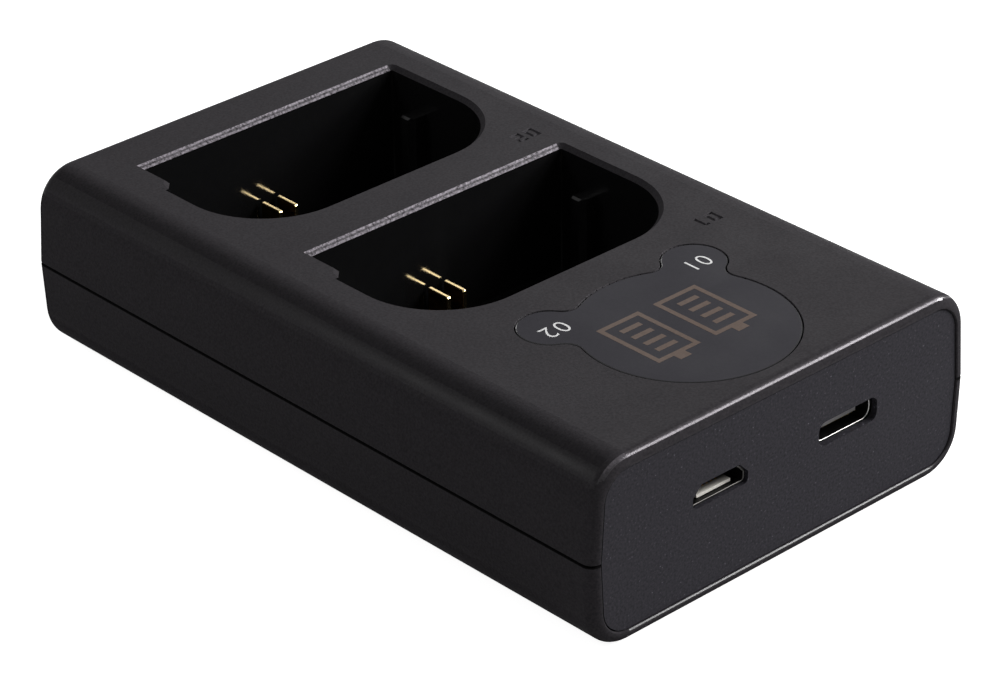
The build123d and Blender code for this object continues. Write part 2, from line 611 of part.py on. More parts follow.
# Spacer block of the header between the boards
with BuildPart() as link_header:
    with BuildSketch(Plane.XY.offset(CONTACT_BOARD_TOP)):
        with Locations((0, HEADER_Y)):
            Rectangle(PIN_PITCH * PIN_COUNT, HEADER_DEPTH)
            with GridLocations(PIN_PITCH, 0, PIN_COUNT, 1):
                Rectangle(PIN_SIZE + 2 * PIN_CLEARANCE, PIN_SIZE + 2 * PIN_CLEARANCE, mode=Mode.SUBTRACT)
    extrude(amount=CONTROL_BOARD_BASE - CONTACT_BOARD_TOP)
link_header.part.label = "link_header"
export_step(link_header.part, "parts/link_header.step")

# Square pins through the header and both boards
with BuildPart() as link_pins:
    with BuildSketch(Plane.XY.offset(CONTACT_BOARD_BASE - PIN_REACH)):
        with Locations((0, HEADER_Y)):
            with GridLocations(PIN_PITCH, 0, PIN_COUNT, 1):
                Rectangle(PIN_SIZE, PIN_SIZE)
    extrude(amount=CONTROL_BOARD_TOP - CONTACT_BOARD_BASE + 2 * PIN_REACH)
link_pins.part.label = "link_pins"
export_step(link_pins.part, "parts/link_pins.step")

# Contact blades: a plate in the well with a tail through the contact board
blade_names = ("near_left_blade", "near_right_blade", "far_left_blade", "far_right_blade")
for blade_name, (blade_x, blade_y) in zip(blade_names, BLADE_CENTRES):
    blade_front = blade_y - BLADE_LENGTH / 2
    blade_back = blade_y + BLADE_LENGTH / 2
    with BuildPart() as blade:
        with BuildSketch(Plane.YZ.offset(blade_x - BLADE_THICKNESS / 2)):
            with BuildLine():
                Polyline(
                    (blade_front, CONTACT_BOARD_TOP),
                    (blade_front, BLADE_TOP - BLADE_CHAMFER),
                    (blade_front + BLADE_CHAMFER, BLADE_TOP),
                    (blade_back, BLADE_TOP),
                    (blade_back, CONTACT_BOARD_TOP),
                    (blade_y + BLADE_TAIL_LENGTH / 2, CONTACT_BOARD_TOP),
                    (blade_y + BLADE_TAIL_LENGTH / 2, BLADE_FOOT),
                    (blade_y - BLADE_TAIL_LENGTH / 2, BLADE_FOOT),
                    (blade_y - BLADE_TAIL_LENGTH / 2, CONTACT_BOARD_TOP),
                    close=True,
                )
            make_face()
        extrude(amount=BLADE_THICKNESS)
    blade.part.label = blade_name
    export_step(blade.part, f"parts/{blade_name}.step")

# Right inlet: drawn metal shell
with BuildPart() as usb_c_shell:
    with BuildSketch(Plane.XZ.offset(USB_C_MOUTH)):
        with Locations(USB_C_AXIS):
            RectangleRounded(USB_C_WIDTH, USB_C_HEIGHT, USB_C_RADIUS)
            RectangleRounded(
                USB_C_WIDTH - 2 * USB_C_SHELL_WALL,
                USB_C_HEIGHT - 2 * USB_C_SHELL_WALL,
                USB_C_RADIUS - USB_C_SHELL_WALL,
                mode=Mode.SUBTRACT,
            )
    extrude(amount=-USB_C_DEPTH)
usb_c_shell.part.label = "usb_c_shell"
export_step(usb_c_shell.part, "parts/usb_c_shell.step")

# Right inlet: insulator, a block at the back with the tongue standing out of it
with BuildPart() as usb_c_tongue:
    with BuildSketch(Plane.XZ.offset(USB_C_MOUTH - USB_C_DEPTH)):
        with Locations(USB_C_AXIS):
            RectangleRounded(
                USB_C_WIDTH - 2 * (USB_C_SHELL_WALL + PORT_FIT),
                USB_C_HEIGHT - 2 * (USB_C_SHELL_WALL + PORT_FIT),
                USB_C_RADIUS - USB_C_SHELL_WALL - PORT_FIT,
            )
    extrude(amount=USB_C_BLOCK)
    with BuildSketch(Plane.XZ.offset(USB_C_MOUTH - USB_C_DEPTH)):
        with Locations(USB_C_AXIS):
            Rectangle(USB_C_TONGUE_WIDTH, USB_C_TONGUE_THICKNESS)
    extrude(amount=USB_C_DEPTH - USB_C_TONGUE_SETBACK)
    tongue_end = usb_c_tongue.faces().sort_by(Axis.Y)[0]
    chamfer(tongue_end.edges().filter_by(Axis.Z), USB_C_TONGUE_CHAMFER)
usb_c_tongue.part.label = "usb_c_tongue"
export_step(usb_c_tongue.part, "parts/usb_c_tongue.step")

# Right inlet: a row of contacts on each face of the tongue
usb_c_contact_y = USB_C_TONGUE_SETBACK + PORT_CONTACT_LENGTH / 2 - USB_C_MOUTH
with BuildPart() as usb_c_contacts:
    with BuildSketch(Plane.XY.offset(USB_C_AXIS[1] + USB_C_TONGUE_THICKNESS / 2)):
        with Locations((USB_C_AXIS[0], usb_c_contact_y)):
            with GridLocations(USB_C_CONTACT_PITCH, 0, USB_C_CONTACT_COUNT, 1):
                Rectangle(PORT_CONTACT_WIDTH, PORT_CONTACT_LENGTH)
    extrude(amount=PORT_CONTACT_THICKNESS)
    with BuildSketch(Plane.XY.offset(USB_C_AXIS[1] - USB_C_TONGUE_THICKNESS / 2)):
        with Locations((USB_C_AXIS[0], usb_c_contact_y)):
            with GridLocations(USB_C_CONTACT_PITCH, 0, USB_C_CONTACT_COUNT, 1):
                Rectangle(PORT_CONTACT_WIDTH, PORT_CONTACT_LENGTH)
    extrude(amount=-PORT_CONTACT_THICKNESS)
usb_c_contacts.part.label = "usb_c_contacts"
export_step(usb_c_contacts.part, "parts/usb_c_contacts.step")

# Left inlet: folded metal shell
with BuildPart() as micro_usb_shell:
    with BuildSketch(Plane.XZ.offset(MICRO_MOUTH)):
        with Locations(MICRO_AXIS):
            add(micro_outer)
            add(micro_inner, mode=Mode.SUBTRACT)
    extrude(amount=-MICRO_DEPTH)
micro_usb_shell.part.label = "micro_usb_shell"
export_step(micro_usb_shell.part, "parts/micro_usb_shell.step")

# Left inlet: insulator with its tongue, and the plinth that it stands on the board by
micro_tongue_z = MICRO_AXIS[1] - MICRO_TONGUE_DROP
micro_plinth_top = MICRO_AXIS[1] - MICRO_HOLE_HEIGHT / 2 + MICRO_CLEARANCE
micro_plinth_width = MICRO_HOLE_WIDTH - 2 * MICRO_HOLE_CHAMFER
with BuildPart() as micro_usb_tongue:
    with BuildSketch(Plane.XZ.offset(MICRO_MOUTH - MICRO_DEPTH)):
        with Locations(MICRO_AXIS):
            add(micro_plug)
    extrude(amount=MICRO_BLOCK)
    with BuildSketch(Plane.XZ.offset(MICRO_MOUTH - MICRO_DEPTH)):
        with Locations((MICRO_AXIS[0], micro_tongue_z)):
            Rectangle(MICRO_TONGUE_WIDTH, MICRO_TONGUE_THICKNESS)
    extrude(amount=MICRO_DEPTH - MICRO_TONGUE_SETBACK)
    with BuildSketch(Plane.XZ.offset(MICRO_MOUTH - MICRO_DEPTH)):
        with Locations((MICRO_AXIS[0], CONTROL_BOARD_TOP)):
            Rectangle(
                micro_plinth_width,
                micro_plinth_top - CONTROL_BOARD_TOP,
                align=(Align.CENTER, Align.MIN),
            )
    extrude(amount=MICRO_DEPTH - MICRO_REACH - BOARD_CLEARANCE)
    # Web behind the shell that joins the plinth to the block
    with BuildSketch(Plane.XZ.offset(MICRO_MOUTH - MICRO_DEPTH)):
        with Locations((MICRO_AXIS[0], CONTROL_BOARD_TOP)):
            Rectangle(
                micro_plinth_width,
                MICRO_AXIS[1] - CONTROL_BOARD_TOP,
                align=(Align.CENTER, Align.MIN),
            )
    extrude(amount=-MICRO_BLOCK)
micro_usb_tongue.part.label = "micro_usb_tongue"
export_step(micro_usb_tongue.part, "parts/micro_usb_tongue.step")

# Left inlet: contacts on the tongue
micro_contact_y = MICRO_TONGUE_SETBACK + MICRO_CONTACT_SETBACK + PORT_CONTACT_LENGTH / 2 - MICRO_MOUTH
with BuildPart() as micro_usb_contacts:
    with BuildSketch(Plane.XY.offset(micro_tongue_z + MICRO_TONGUE_THICKNESS / 2)):
        with Locations((MICRO_AXIS[0], micro_contact_y)):
            with GridLocations(MICRO_CONTACT_PITCH, 0, MICRO_CONTACT_COUNT, 1):
                Rectangle(PORT_CONTACT_WIDTH, PORT_CONTACT_LENGTH)
    extrude(amount=PORT_CONTACT_THICKNESS)
micro_usb_contacts.part.label = "micro_usb_contacts"
export_step(micro_usb_contacts.part, "parts/micro_usb_contacts.step")

# Shielded inductors of the two charging circuits
with BuildPart() as charge_inductors:
    with BuildSketch(Plane.XY.offset(CONTROL_BOARD_TOP)) as footprints:
        with Locations(CELLS_CENTRE):
            with GridLocations(2 * INDUCTOR_X, 0, 2, 1):
                Rectangle(INDUCTOR_SIZE, INDUCTOR_SIZE)
        chamfer(footprints.vertices(), INDUCTOR_CHAMFER)
    extrude(amount=INDUCTOR_HEIGHT)
charge_inductors.part.label = "charge_inductors"
export_step(charge_inductors.part, "parts/charge_inductors.step")

# Ceramic capacitors between the inductors and the light box
with BuildPart() as filter_capacitors:
    with BuildSketch(Plane.XY.offset(CONTROL_BOARD_TOP)):
        with Locations(CELLS_CENTRE):
            with GridLocations(2 * CAPACITOR_X, CAPACITOR_PITCH, 2, CAPACITORS_PER_SIDE):
                Rectangle(CAPACITOR_WIDTH, CAPACITOR_LENGTH)
    extrude(amount=CAPACITOR_HEIGHT)
filter_capacitors.part.label = "filter_capacitors"
export_step(filter_capacitors.part, "parts/filter_capacitors.step")

# Charge controllers: a body with a row of leads on each side
with BuildPart() as charge_controllers:
    with BuildSketch(Plane.XY.offset(CONTROL_BOARD_TOP)):
        with Locations((CELL_SHIFT, CHIP_Y)):
            with GridLocations(2 * INDUCTOR_X, 0, 2, 1):
                Rectangle(CHIP_WIDTH, CHIP_LENGTH)
    extrude(amount=CHIP_HEIGHT)
    chamfer(charge_controllers.faces().filter_by(Axis.Z).group_by(Axis.Z)[-1].edges(), CHIP_CHAMFER)
    with BuildSketch(Plane.XY.offset(CONTROL_BOARD_TOP)):
        with Locations((CELL_SHIFT, CHIP_Y)):
            with GridLocations(2 * INDUCTOR_X, 0, 2, 1):
                with GridLocations(0, LEAD_PITCH, 1, LEADS_PER_SIDE):
                    Rectangle(CHIP_WIDTH + 2 * LEAD_REACH, LEAD_WIDTH)
    extrude(amount=LEAD_HEIGHT)
charge_controllers.part.label = "charge_controllers"
export_step(charge_controllers.part, "parts/charge_controllers.step")

# Microcontroller that reads the wells and lights the bars
with BuildPart() as microcontroller:
    with BuildSketch(Plane.XY.offset(CONTROL_BOARD_TOP)):
        with Locations((0, CONTROLLER_Y)):
            Rectangle(CONTROLLER_WIDTH, CONTROLLER_LENGTH)
    extrude(amount=CONTROLLER_HEIGHT)
    chamfer(microcontroller.faces().sort_by(Axis.Z)[-1].edges(), CHIP_CHAMFER)
microcontroller.part.label = "microcontroller"
export_step(microcontroller.part, "parts/microcontroller.step")

# Current-sense resistors, one for each well
with BuildPart() as sense_resistors:
    with BuildSketch(Plane.XY.offset(CONTROL_BOARD_TOP)):
        with Locations((CELL_SHIFT, RESISTOR_Y)):
            with GridLocations(2 * INDUCTOR_X, 0, 2, 1):
                Rectangle(RESISTOR_WIDTH, RESISTOR_LENGTH)
    extrude(amount=RESISTOR_HEIGHT)
sense_resistors.part.label = "sense_resistors"
export_step(sense_resistors.part, "parts/sense_resistors.step")

# Self-tapping screws from underneath
with BuildPart() as case_screws:
    with BuildSketch(Plane.XY.offset(COUNTERBORE_DEPTH)):
        with Locations(*ALL_SCREWS):
            Circle(SCREW_HEAD_DIAMETER / 2)
    extrude(amount=-SCREW_HEAD_HEIGHT)
    with BuildSketch(Plane.XY.offset(COUNTERBORE_DEPTH)):
        with Locations(*ALL_SCREWS):
            Circle(SCREW_DIAMETER / 2)
    extrude(amount=SCREW_LENGTH)
case_screws.part.label = "case_screws"
export_step(case_screws.part, "parts/case_screws.step")
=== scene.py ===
import json
from math import cos, pi, radians, sin

import bmesh
import bpy
from mathutils import Matrix, Vector

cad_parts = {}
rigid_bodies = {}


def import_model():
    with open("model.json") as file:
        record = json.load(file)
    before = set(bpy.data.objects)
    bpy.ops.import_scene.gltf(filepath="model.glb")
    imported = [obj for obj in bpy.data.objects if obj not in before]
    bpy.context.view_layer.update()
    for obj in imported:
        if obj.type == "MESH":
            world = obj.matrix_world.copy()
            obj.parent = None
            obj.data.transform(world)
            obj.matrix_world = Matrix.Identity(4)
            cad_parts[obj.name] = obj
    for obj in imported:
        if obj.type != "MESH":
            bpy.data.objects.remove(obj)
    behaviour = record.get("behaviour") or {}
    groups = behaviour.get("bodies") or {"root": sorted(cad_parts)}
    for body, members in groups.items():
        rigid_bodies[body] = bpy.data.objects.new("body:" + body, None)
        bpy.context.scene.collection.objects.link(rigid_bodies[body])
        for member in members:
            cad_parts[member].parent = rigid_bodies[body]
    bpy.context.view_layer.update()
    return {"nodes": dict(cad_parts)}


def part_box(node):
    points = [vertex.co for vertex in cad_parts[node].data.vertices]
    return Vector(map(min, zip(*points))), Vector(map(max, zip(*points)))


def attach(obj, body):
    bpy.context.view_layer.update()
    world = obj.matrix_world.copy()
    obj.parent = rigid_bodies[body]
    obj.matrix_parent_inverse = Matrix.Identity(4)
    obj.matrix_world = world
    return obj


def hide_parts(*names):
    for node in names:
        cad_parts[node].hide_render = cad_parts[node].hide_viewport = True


# Two-well camera battery charger: finishes, printing, light and camera.
# The model is in metres, so sizes below are written in millimetres and multiplied by MM.
MM = 0.001

for leftover in list(bpy.data.objects):
    bpy.data.objects.remove(leftover)
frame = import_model()
nodes = frame["nodes"]

# Case: height of its top and of the joint between its halves, and depth of the wells' chamfered mouths
TOP = 22.6
SEAM_HEIGHT = 11.15
MOUTH_DEPTH = 0.56

# Heights between which the colour of the rounded upper edges is banded: painted highlight at the left corner,
# painted shade on the sides' rounds
CORNER_EDGE_HEIGHTS = (20.3, 21.6)
CORNER_FADE_HEIGHTS = (19.5, 21.3)
SIDE_ROUND_HEIGHTS = (19.9, 21.6)
SIDE_TURN_HEIGHTS = (21.5, 22.5)

# Places at which the shells' finish changes
SEAM_REACH = 0.5
END_ROUND_START = 44.7
RIM_TOP = 4.0
RIM_LEFT = -22.5
SIDE_START = 23.0
WELLS_HALF_WIDTH = 21.0
WELLS_REACH = 42.0
MOUTH_HALF_LENGTH = 18.5
SUNK_DROP = 0.02

# Slopes at which the shells' finish changes, as parts of a face's unit normal
SEAM_SLOPE = 0.4
END_FACE_SLOPE = 0.995
LEVEL_SLOPE = 0.9
UPRIGHT_SLOPE = 0.1
GLINT_SLOPE = 0.68
GLINT_OUTWARD_LEAST = 0.43
GLINT_OUTWARD_MOST = 0.76
FADE_SLOPE = 0.5
RIM_SLOPE = 0.5
RIM_OUTWARD = 0.6
MOUTH_SLOPE = 0.5
MOUTH_BACK_SLOPE = -0.6
SIDE_UNDER_SLOPE = -0.15
SIDE_WALL_SLOPE = 0.45
SIDE_EASE_SLOPE = 0.58
SIDE_ROUND_SLOPE = 0.8
SIDE_TURN_SLOPE = 0.985

# Cleaning of the CAD meshes that pieces are made from
WELD_DISTANCE = 0.002
FLAT_ANGLE = 1.0

# Window pane and its printing; a digit takes DIGIT_SHARE of its font's size
WINDOW_DROP = 0.02
PANE_TOP_REACH = 0.1
PANE_BEVEL = 0.15
PRINT_LIFT = 0.012
PRINT_BASE = TOP - WINDOW_DROP
ICON_BACK = -25.55
ICON_FRONT = -35.0
ICON_LINE = 0.62
ICON_NUB = 1.05
ICON_BARS = (-27.6, -29.35, -31.15, -32.9)
BAR_HALF_HEIGHT = 0.36
NUMBER_HEIGHT = 2.3
NUMBER_Y = -22.2
NUMBER_1_X = 10.7
NUMBER_2_X = -10.8
NUMBER_SPACING = 1.15
NUMBER_THINNING = 0.03
DIGIT_SHARE = 0.7

# End panel: the holes' edges lie inside the half sizes and stay sharp
PANEL_FRONT = -45.9
PANEL_FRONT_REACH = 0.01
PANEL_HOLES_HALF_WIDTH = 20.0
PANEL_HOLES_HALF_HEIGHT = 7.0
PANEL_BEVEL = 0.13
PANEL_DARK_SLOPE = -0.2

# Contact blades and inlets
BLADE_SWELL = 1.35
BLADE_BEVEL = 0.11
BLADE_SIDE_SLOPE = 0.9
LIP_BEVEL = 0.08
TONGUE_LEAD = 0.05
TONGUE_SHADE_DEPTH = 1.05

# Case screws: heights above the underside, radii, and half sizes of the cross recess
SCREW_HEAD_BASE = 1.3
SCREW_SEAT = 2.8
SCREW_TIP = 15.8
SCREW_HEAD_RADIUS = 1.9
SCREW_HEAD_ROUND = 0.35
SCREW_SHANK_RADIUS = 1.1
SCREW_POINT_LENGTH = 0.9
SCREW_POINT_RADIUS = 0.25
SCREW_SIDES = 40
CROSS_LONG = 1.05
CROSS_WIDE = 0.24
CROSS_DEPTH = 0.85
CROSS_TAPER = 0.55

# Stage: levels of the white floor and surround, as seen directly and in glossy surfaces
FLOOR_HALF = 3000.0
FLOOR_THICKNESS = 1.0
FLOOR_GREY = 0.6
FLOOR_WHITE = 0.92
FLOOR_IN_GLOSS = 0.6
SKY_LIGHT = 0.3
SKY_WHITE = 1.0
SKY_IN_GLOSS = 0.3

# Camera, solved from the case's straight edges in the photo: place, rightward and backward directions
CAMERA_PLACE = (-263.56, -287.66, 227.40)
CAMERA_RIGHT = (0.7310, -0.6822, -0.0105)
CAMERA_BACK = (-0.5910, -0.6407, 0.4903)
CAMERA_SENSOR = 36.0
CAMERA_LENS = 142.52
CAMERA_NEAR = 0.01

# Sockets of a Mix node that is set to colours
MIX_FACTOR = 0
MIX_FIRST = 6
MIX_SECOND = 7
MIX_RESULT = 2

# Noise in the materials: its detail, the range that most of it lies in, where mottling is brightest, where
# flecks start, and how much broader the unevenness of the gloss is than the grain
NOISE_DETAIL = 3.0
NOISE_LOW = 0.3
NOISE_HIGH = 0.7
MOTTLE_HIGH = 0.66
FLECK_START = 0.72
GLOSS_GRAIN = 25.0
GLOSS_SPREAD = 0.04

# Drawing lines in plated metal: their size and how they are stretched along the object's Y
LINE_SIZE = 0.3
LINE_STRETCH = (1.0, 0.08, 1.0)

# Tint of the light that the glossy edges mirror
EDGE_TINT = (1.0, 0.93, 1.0, 1.0)


# Materials

def principled(name):
    """A new material with one Principled shader: returns the material, its node tree and the shader."""
    material = bpy.data.materials.new(name)
    material.use_nodes = True
    tree = material.node_tree
    tree.nodes.clear()
    output = tree.nodes.new("ShaderNodeOutputMaterial")
    shader = tree.nodes.new("ShaderNodeBsdfPrincipled")
    tree.links.new(shader.outputs["BSDF"], output.inputs["Surface"])
    return material, tree, shader


def grain(tree, size_mm, roughness=0.5, stretch=None):
    """Noise with blobs of about the given size, in the object's own coordinates, stretched if asked."""
    place = tree.nodes.new("ShaderNodeTexCoord").outputs["Object"]
    if stretch:
        mapping = tree.nodes.new("ShaderNodeMapping")
        mapping.inputs["Scale"].default_value = stretch
        tree.links.new(place, mapping.inputs["Vector"])
        place = mapping.outputs["Vector"]
    noise = tree.nodes.new("ShaderNodeTexNoise")
    noise.inputs["Scale"].default_value = 1.0 / (size_mm * MM)
    noise.inputs["Detail"].default_value = NOISE_DETAIL
    noise.inputs["Roughness"].default_value = roughness
    tree.links.new(place, noise.inputs["Vector"])
    return noise.outputs["Fac"]


def ramp(tree, value, stops):
    """A colour ramp over a value; stops are (position, colour)."""
    node = tree.nodes.new("ShaderNodeValToRGB")
    elements = node.color_ramp.elements
    while len(elements) < len(stops):
        elements.new(0.5)
    for element, (position, colour) in zip(elements, stops):
        element.position = position
        element.color = (*colour, 1.0)
    tree.links.new(value, node.inputs["Fac"])
    return node.outputs["Color"]


def spread(tree, value, low, high):
    """Maps the middle of a noise to the range low..high."""
    node = tree.nodes.new("ShaderNodeMapRange")
    node.inputs["From Min"].default_value = NOISE_LOW
    node.inputs["From Max"].default_value = NOISE_HIGH
    node.inputs["To Min"].default_value = low
    node.inputs["To Max"].default_value = high
    tree.links.new(value, node.inputs["Value"])
    return node.outputs["Result"]


def along(tree, axis, start, end):
    """0 to 1 between two places, in metres, along an axis of the object's own coordinates."""
    place = tree.nodes.new("ShaderNodeTexCoord")
    parts = tree.nodes.new("ShaderNodeSeparateXYZ")
    tree.links.new(place.outputs["Object"], parts.inputs["Vector"])
    node = tree.nodes.new("ShaderNodeMapRange")
    node.inputs["From Min"].default_value = start
    node.inputs["From Max"].default_value = end
    tree.links.new(parts.outputs[axis], node.inputs["Value"])
    return node.outputs["Result"]


def recoloured(tree, blend_type):
    """Puts a Mix node between a shader and its present colour, which becomes the first of the two."""
    colour = tree.nodes["Principled BSDF"].inputs["Base Color"]
    blend = tree.nodes.new("ShaderNodeMix")
    blend.data_type = "RGBA"
    blend.blend_type = blend_type
    tree.links.new(colour.links[0].from_socket, blend.inputs[MIX_FIRST])
    tree.links.new(blend.outputs[MIX_RESULT], colour)
    return blend


def relief(tree, shader, value, height_mm, strength):
    """Bump from a value, for texture too fine to model."""
    bump = tree.nodes.new("ShaderNodeBump")
    bump.inputs["Strength"].default_value = strength
    bump.inputs["Distance"].default_value = height_mm * MM
    tree.links.new(value, bump.inputs["Height"])
    tree.links.new(bump.outputs["Normal"], shader.inputs["Normal"])


def tinted(colour, factor):
    """A colour made lighter or darker."""
    return tuple(min(1.0, c * factor) for c in colour)


def moulded(name, colour, grain_mm, variation, roughness, specular, height_mm=0.0, strength=0.0, fleck=0.0):
    """Moulded plastic: mottled colour, uneven gloss, a textured surface and, if given, bright flecks."""
    material, tree, shader = principled(name)
    fine = grain(tree, grain_mm, roughness=0.6)
    broad = grain(tree, grain_mm * GLOSS_GRAIN)
    stops = [(NOISE_LOW, tinted(colour, 1.0 - variation)), (MOTTLE_HIGH, tinted(colour, 1.0 + variation))]
    if fleck:
        stops.append((FLECK_START, tinted(colour, fleck)))
    tree.links.new(ramp(tree, fine, stops), shader.inputs["Base Color"])
    gloss = spread(tree, broad, roughness - GLOSS_SPREAD, roughness + GLOSS_SPREAD)
    tree.links.new(gloss, shader.inputs["Roughness"])
    shader.inputs["Specular IOR Level"].default_value = specular
    if strength:
        relief(tree, shader, fine, height_mm, strength)
    return material


def case_plastic(name, colour, roughness, specular):
    """The case's plastic with its spark-eroded texture, at a given gloss."""
    return moulded(name, colour, 0.28, 0.22, roughness, specular, 0.03, 0.35)


def glossy_edge_plastic(name, colour, roughness, specular):
    """The case's plastic on its glossier edges, with stronger relief."""
    return moulded(name, colour, 0.26, 0.25, roughness, specular, 0.03, 0.5)


def insulator(name, colour, variation):
    """Moulding inside an inlet or a header."""
    return moulded(name, colour, 0.3, variation, 0.45, 0.3, 0.01, 0.2)


def depth_painted_shade(material, shade_colour, node_name, depth_mm):
    """Darkens a material towards a shade colour over a depth behind a node's front end: painted shade."""
    tree = material.node_tree
    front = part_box(node_name)[0].y
    blend = recoloured(tree, "MIX")
    blend.inputs[MIX_SECOND].default_value = (*shade_colour, 1.0)
    depth = along(tree, "Y", front - TONGUE_LEAD * MM, front + depth_mm * MM)
    tree.links.new(depth, blend.inputs[MIX_FACTOR])


def painted_height_bands(material, heights, levels):
    """Multiplies a material's colour by grey levels between two heights, to paint highlights and shade;
    levels are (position, grey).
    """
    tree = material.node_tree
    blend = recoloured(tree, "MULTIPLY")
    blend.inputs[MIX_FACTOR].default_value = 1.0
    height = along(tree, "Z", heights[0] * MM, heights[1] * MM)
    bands = ramp(tree, height, [(position, (grey, grey, grey)) for position, grey in levels])
    tree.links.new(bands, blend.inputs[MIX_SECOND])


def plated(name, colour, roughness):
    """Plated metal with faint drawing lines along one direction."""
    material, tree, shader = principled(name)
    lines = grain(tree, LINE_SIZE, stretch=LINE_STRETCH)
    colours = ramp(tree, lines, [(NOISE_LOW, tinted(colour, 0.85)), (NOISE_HIGH, tinted(colour, 1.08))])
    tree.links.new(colours, shader.inputs["Base Color"])
    tree.links.new(spread(tree, lines, roughness - 0.05, roughness + 0.08), shader.inputs["Roughness"])
    shader.inputs["Metallic"].default_value = 1.0
    relief(tree, shader, lines, 0.01, 0.15)
    return material


# The numbers after a colour are moulded's: grain, variation, roughness, specular level, and the relief's
# height and strength. case_plastic and glossy_edge_plastic take only the roughness and the specular level,
# insulator only the variation and plated only the roughness.

# Case: the sheen changes from face to face, and each level of it needs a material of its own; several also
# carry painted shade and painted highlights in their colour
case_colour = (0.0365, 0.0338, 0.0373)
# The sides' walls are painted a little darker than the top: painted shade
wall_painted_shade_colour = tinted(case_colour, 0.93)
case_matt = case_plastic("case_matt", case_colour, 0.45, 0.025)
case_side = case_plastic("case_side", wall_painted_shade_colour, 0.5, 0.01)
case_under = case_plastic("case_under", case_colour, 0.6, 0.004)
case_flat = case_plastic("case_flat", case_colour, 0.6, 0.0)
side_ease = case_plastic("side_ease", wall_painted_shade_colour, 0.42, 0.035)
# Rounds from the sides into the top: colour banded darker by height, painted shade
side_round_painted_shade = case_plastic("side_round_painted_shade", case_colour, 0.35, 0.085)
painted_height_bands(side_round_painted_shade, SIDE_ROUND_HEIGHTS, [(0.0, 1.0), (0.3, 0.92), (0.6, 0.75), (1.0, 0.7)])
side_turn_painted_shade = case_plastic("side_turn_painted_shade", case_colour, 0.45, 0.02)
painted_height_bands(side_turn_painted_shade, SIDE_TURN_HEIGHTS, [(0.0, 0.8), (0.3, 0.7), (0.7, 0.72), (1.0, 1.0)])
# Sunk numbers, painted lighter than the case plastic: painted light in their shaded floors and walls
sunk_number_painted_light = case_plastic("sunk_number_painted_light", (0.085, 0.08, 0.087), 0.6, 0.0)
end_edge = glossy_edge_plastic("end_edge", case_colour, 0.22, 0.44)
# Left corner of the front top edge: painted highlight, lighter towards the top, and its fading end
corner_painted_highlight = glossy_edge_plastic("corner_painted_highlight", (0.082, 0.076, 0.084), 0.22, 0.44)
painted_height_bands(corner_painted_highlight, CORNER_EDGE_HEIGHTS, [(0.0, 0.45), (1.0, 1.0)])
corner_fading_painted_highlight = glossy_edge_plastic("corner_fading_painted_highlight", (0.06, 0.056, 0.061), 0.3, 0.1)
painted_height_bands(corner_fading_painted_highlight, CORNER_FADE_HEIGHTS, [(0.0, 0.5), (1.0, 1.0)])
rim_edge = moulded("rim_edge", case_colour, 0.26, 0.25, 0.22, 0.45, 0.02, 0.3)
# The chamfer behind each well: painted highlight, lighter than the case and brightest in two lines along its
# edges
mouth_painted_highlight = moulded("mouth_painted_highlight", (0.19, 0.174, 0.195), 0.3, 0.9, 0.26, 0.15, 0.1, 1.0)
mouth_highlight_levels = [(0.0, 0.9), (0.28, 0.9), (0.45, 0.3), (0.6, 0.3), (0.75, 1.0), (1.0, 1.0)]
painted_height_bands(mouth_painted_highlight, (TOP - MOUTH_DEPTH, TOP), mouth_highlight_levels)
for edge_finish in (mouth_painted_highlight, end_edge, corner_painted_highlight):
    edge_shader = edge_finish.node_tree.nodes["Principled BSDF"]
    edge_shader.inputs["Specular Tint"].default_value = EDGE_TINT
# Wells: polished, and painted much darker than the case plastic, painted shade
well_gloss_and_painted_shade = moulded("well_gloss_and_painted_shade", (0.0065, 0.0065, 0.0068), 1.2, 0.06, 0.12, 0.5)
seam_dark = moulded("seam_dark", (0.008, 0.0078, 0.008), 0.28, 0.22, 0.7, 0.0)

# Panel, window and printing
panel_matt = moulded("panel_matt", (0.028, 0.0265, 0.0322), 0.3, 0.35, 0.5, 0.05, 0.03, 0.3, fleck=5.0)
window_satin = moulded("window_satin", (0.031, 0.0295, 0.0362), 0.35, 0.06, 0.35, 0.02)
window_edge = moulded("window_edge", (0.01, 0.0095, 0.0115), 0.6, 0.2, 0.22, 0.7, 0.05, 0.8)
icon_ink = moulded("icon_ink", (0.12, 0.086, 0.07), 0.4, 0.1, 0.5, 0.1)
white_ink = moulded("white_ink", (0.78, 0.78, 0.78), 0.15, 0.06, 0.5, 0.2)

# Inlets, contacts, screws and the parts inside
black_insulator = insulator("black_insulator", (0.018, 0.018, 0.018), 0.15)
grey_insulator = insulator("grey_insulator", (0.16, 0.155, 0.16), 0.15)
pale_insulator = insulator("pale_insulator", (0.94, 0.9, 0.83), 0.05)
# The micro-USB tongue's colour darkens behind its front end: painted shade
depth_painted_shade(pale_insulator, (0.03, 0.022, 0.018), "micro_usb_tongue", TONGUE_SHADE_DEPTH)
light_box_white = moulded("light_box_white", (0.75, 0.75, 0.73), 0.4, 0.04, 0.5, 0.4, 0.01, 0.2)
lamp_resin = moulded("lamp_resin", (0.8, 0.76, 0.5), 0.2, 0.08, 0.2, 0.5)
chip_resin = moulded("chip_resin", (0.022, 0.022, 0.024), 0.12, 0.3, 0.55, 0.4, 0.01, 0.4)
ferrite = moulded("ferrite", (0.06, 0.06, 0.062), 0.15, 0.35, 0.6, 0.4, 0.02, 0.5)
ceramic = moulded("ceramic", (0.42, 0.3, 0.18), 0.2, 0.12, 0.4, 0.5, 0.01, 0.2)
board_resist = moulded("board_resist", (0.012, 0.09, 0.045), 1.5, 0.35, 0.35, 0.5, 0.02, 0.2)
contact_gold = plated("contact_gold", (1.0, 0.74, 0.38), 0.13)
